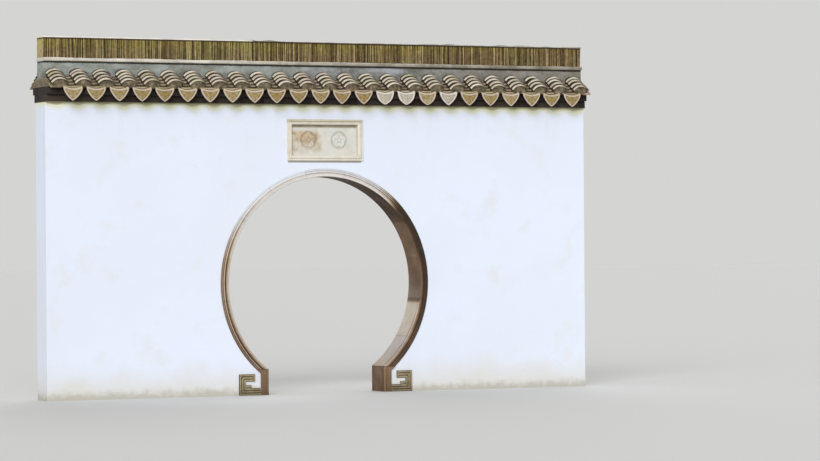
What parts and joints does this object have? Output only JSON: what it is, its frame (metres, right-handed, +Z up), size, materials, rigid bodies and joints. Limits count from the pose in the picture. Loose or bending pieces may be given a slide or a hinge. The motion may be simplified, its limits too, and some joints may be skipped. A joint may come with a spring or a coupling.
{
  "type": "moon gate",
  "caption": "Round gateway through a rendered garden wall, with a moulded brick lining, straight feet, square scrolls, a recessed plaque and a tiled coping.",
  "frame": {"origin": "on the ground under the middle of the gate, halfway through the wall", "axes": "+X along the wall to the right, -Y towards the side seen in the picture, +Z up"},
  "size_m": [5.6, 0.564, 3.3201],
  "materials": {
    "white_plaster": "matt lime plaster with faint stains",
    "polished_brick": "rubbed grey brick, weathered",
    "plaque_brick": "rubbed pale brick with brown stains",
    "coping_brick": "dark fired brick",
    "roof_tile": "dark unglazed tile with pale lichen",
    "ridge_plaster": "grey lime plaster, mottled",
    "lime_cap": "weathered lime mortar"
  },
  "bodies": {
    "root": {"back_cover_tiles": "roof_tile", "back_drip_tiles": "roof_tile", "back_pan_tiles": "roof_tile", "coping_core": "coping_brick", "front_cover_tiles": "roof_tile", "front_drip_tiles": "roof_tile", "front_pan_tiles": "roof_tile", "left_back_fret": "polished_brick", "left_foot": "polished_brick", "left_front_fret": "polished_brick", "left_ridge_cap": "lime_cap", "left_ridge_tiles": "roof_tile", "left_wall": "white_plaster", "lower_eave_course": "coping_brick", "plaque_bottom_border": "plaque_brick", "plaque_left_border": "plaque_brick", "plaque_panel": "plaque_brick", "plaque_right_border": "plaque_brick", "plaque_top_border": "plaque_brick", "ridge_base": "ridge_plaster", "ridge_fillet": "lime_cap", "right_back_fret": "polished_brick", "right_foot": "polished_brick", "right_front_fret": "polished_brick", "right_ridge_cap": "lime_cap", "right_ridge_tiles": "roof_tile", "right_wall": "white_plaster", "ring_segment_01": "polished_brick", "ring_segment_02": "polished_brick", "ring_segment_03": "polished_brick", "ring_segment_04": "polished_brick", "ring_segment_05": "polished_brick", "ring_segment_06": "polished_brick", "ring_segment_07": "polished_brick", "ring_segment_08": "polished_brick", "ring_segment_09": "polished_brick", "ring_segment_10": "polished_brick", "ring_segment_11": "polished_brick", "ring_segment_12": "polished_brick", "ring_segment_13": "polished_brick", "upper_eave_course": "coping_brick", "wall_over_gate": "white_plaster"}
  },
  "joints": []
}
